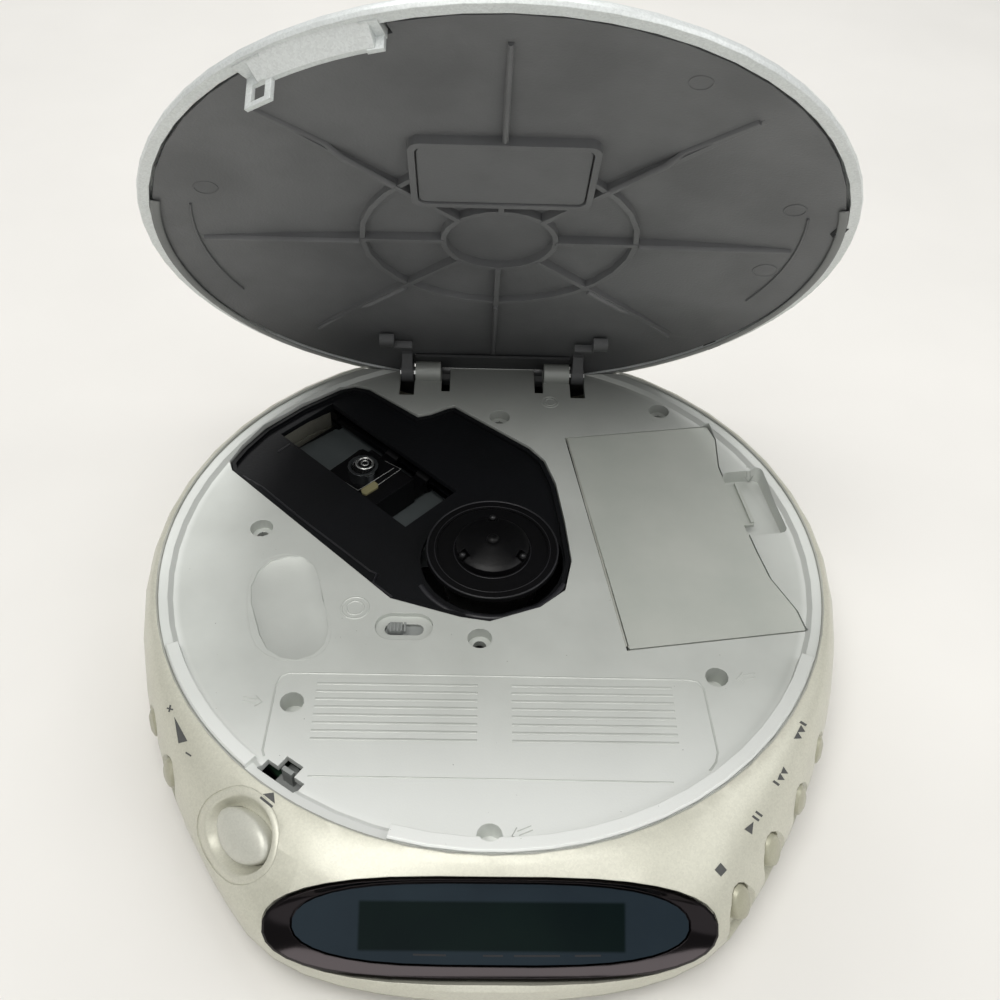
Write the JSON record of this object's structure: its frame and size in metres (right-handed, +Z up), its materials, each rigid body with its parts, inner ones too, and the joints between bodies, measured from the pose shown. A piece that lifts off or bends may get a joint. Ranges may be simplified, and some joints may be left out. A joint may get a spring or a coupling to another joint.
{
  "type": "portable disc player",
  "caption": "Portable disc player with its round lid open, showing the spindle, the pickup window, the battery door and the display on the front slope.",
  "frame": {"origin": "middle of the whole part's footprint, at the level of the feet", "axes": "+X to the right and +Y to the lid's hinge as seen by a user facing the display, +Z up"},
  "size_m": [0.136, 0.1484, 0.128],
  "materials": {
    "cream": "satin pearl paint on moulded plastic",
    "silver": "satin silver-tinted moulded plastic",
    "grey": "fine-textured dark grey moulded plastic",
    "black": "black moulded plastic",
    "chrome": "dark chrome plated plastic trim",
    "steel": "plain steel",
    "rubber": "matt rubber",
    "board": "green circuit board",
    "glass": "clear moulded window",
    "cell": "plain wrapped cell"
  },
  "bodies": {
    "base": {"cabinet": "cream", "bottom_shell": "cream", "deck": "silver", "battery_tray": "black", "mechanism_cover": "black", "traverse_frame": "black", "lcd_module": "black", "headphone_jack": "black", "dc_jack": "black", "display_bezel": "chrome", "hinge_pin_left": "steel", "hinge_pin_right": "steel", "deck_screw_1": "steel", "deck_screw_2": "steel", "deck_screw_3": "steel", "deck_screw_4": "steel", "battery_contact_1": "steel", "battery_contact_2": "steel", "battery_spring_1": "steel", "battery_spring_2": "steel", "spindle_motor": "steel", "main_guide_rod": "steel", "side_guide_rod": "steel", "sled_motor": "steel", "foot_front_left": "rubber", "foot_front_right": "rubber", "foot_rear_left": "rubber", "foot_rear_right": "rubber", "damper_1": "rubber", "damper_2": "rubber", "damper_3": "rubber", "main_board": "board", "display_lens": "glass", "battery_cell_1": "cell", "battery_cell_2": "cell"},
    "lid": {"lid_shell": "silver", "lid_liner": "grey", "lid_plate": "grey"},
    "battery_door": {"battery_door": "silver"},
    "turntable": {"turntable": "black", "chuck_hub": "black", "chuck_ball_1": "steel", "chuck_ball_2": "steel", "chuck_ball_3": "steel", "spindle_shaft": "steel"},
    "sled": {"pickup_sled": "black", "lens_holder": "black", "objective_lens": "glass"},
    "lead_screw": {"lead_screw": "steel"},
    "hold_switch": {"hold_switch": "grey"},
    "open_button": {"open_button": "cream"},
    "latch_slider": {"latch_slider": "black"},
    "next_key": {"next_key": "cream"},
    "previous_key": {"previous_key": "cream"},
    "play_key": {"play_key": "cream"},
    "stop_key": {"stop_key": "cream"},
    "volume_up_key": {"volume_up_key": "cream"},
    "volume_down_key": {"volume_down_key": "cream"}
  },
  "joints": [
    {"name": "lid_hinge", "type": "hinge", "parent": "base", "child": "lid", "pos_m": [0, 0.06247, 0.0213], "axis": [-1, 0, 0], "range_deg": [-60.5, 0]},
    {"name": "battery_door_hinge", "type": "hinge", "parent": "base", "child": "battery_door", "pos_m": [0.02639, -0.01616, 0.019], "axis": [0.1478, -0.989, 0], "range_deg": [0, 100]},
    {"name": "turntable_spin", "type": "hinge", "parent": "base", "child": "turntable", "pos_m": [0, 0.00647, 0.0221], "axis": [0, 0, 1], "continuous": true},
    {"name": "sled_slide", "type": "slide", "parent": "base", "child": "sled", "axis": [-0.7242, 0.6896, 0], "range_m": [-0.0144, 0.0154]},
    {"name": "lead_screw_spin", "type": "hinge", "parent": "base", "child": "lead_screw", "pos_m": [0.01193, 0.019, 0.0121], "axis": [-0.7242, 0.6896, 0], "continuous": true},
    {"name": "hold_slide", "type": "slide", "parent": "base", "child": "hold_switch", "axis": [1, 0, 0], "range_m": [0, 0.0032]},
    {"name": "open_press", "type": "slide", "parent": "base", "child": "open_button", "axis": [0.5133, 0.4264, -0.7448], "range_m": [0, 0.0015], "stiffness_N_per_m": 600},
    {"name": "latch_slide", "type": "slide", "parent": "base", "child": "latch_slider", "axis": [0.5707, 0.8212, 0], "range_m": [0, 0.001]},
    {"name": "next_press", "type": "slide", "parent": "base", "child": "next_key", "axis": [-0.9091, 0.3892, -0.1482], "range_m": [0, 0.0005], "stiffness_N_per_m": 800},
    {"name": "previous_press", "type": "slide", "parent": "base", "child": "previous_key", "axis": [-0.8436, 0.4787, -0.2433], "range_m": [0, 0.0005], "stiffness_N_per_m": 800},
    {"name": "play_press", "type": "slide", "parent": "base", "child": "play_key", "axis": [-0.7396, 0.5139, -0.4346], "range_m": [0, 0.0005], "stiffness_N_per_m": 800},
    {"name": "stop_press", "type": "slide", "parent": "base", "child": "stop_key", "axis": [-0.6825, 0.5425, -0.4898], "range_m": [0, 0.0005], "stiffness_N_per_m": 800},
    {"name": "volume_up_press", "type": "slide", "parent": "base", "child": "volume_up_key", "axis": [0.9103, 0.3974, -0.1163], "range_m": [0, 0.0005], "stiffness_N_per_m": 800},
    {"name": "volume_down_press", "type": "slide", "parent": "base", "child": "volume_down_key", "axis": [0.8581, 0.4683, -0.2105], "range_m": [0, 0.0005], "stiffness_N_per_m": 800}
  ],
  "couplings": [
    {"joint": "lead_screw_spin", "follows": "sled_slide", "rad_per_m": 3141.6},
    {"joint": "latch_slide", "follows": "open_press", "ratio": 0.6667}
  ]
}
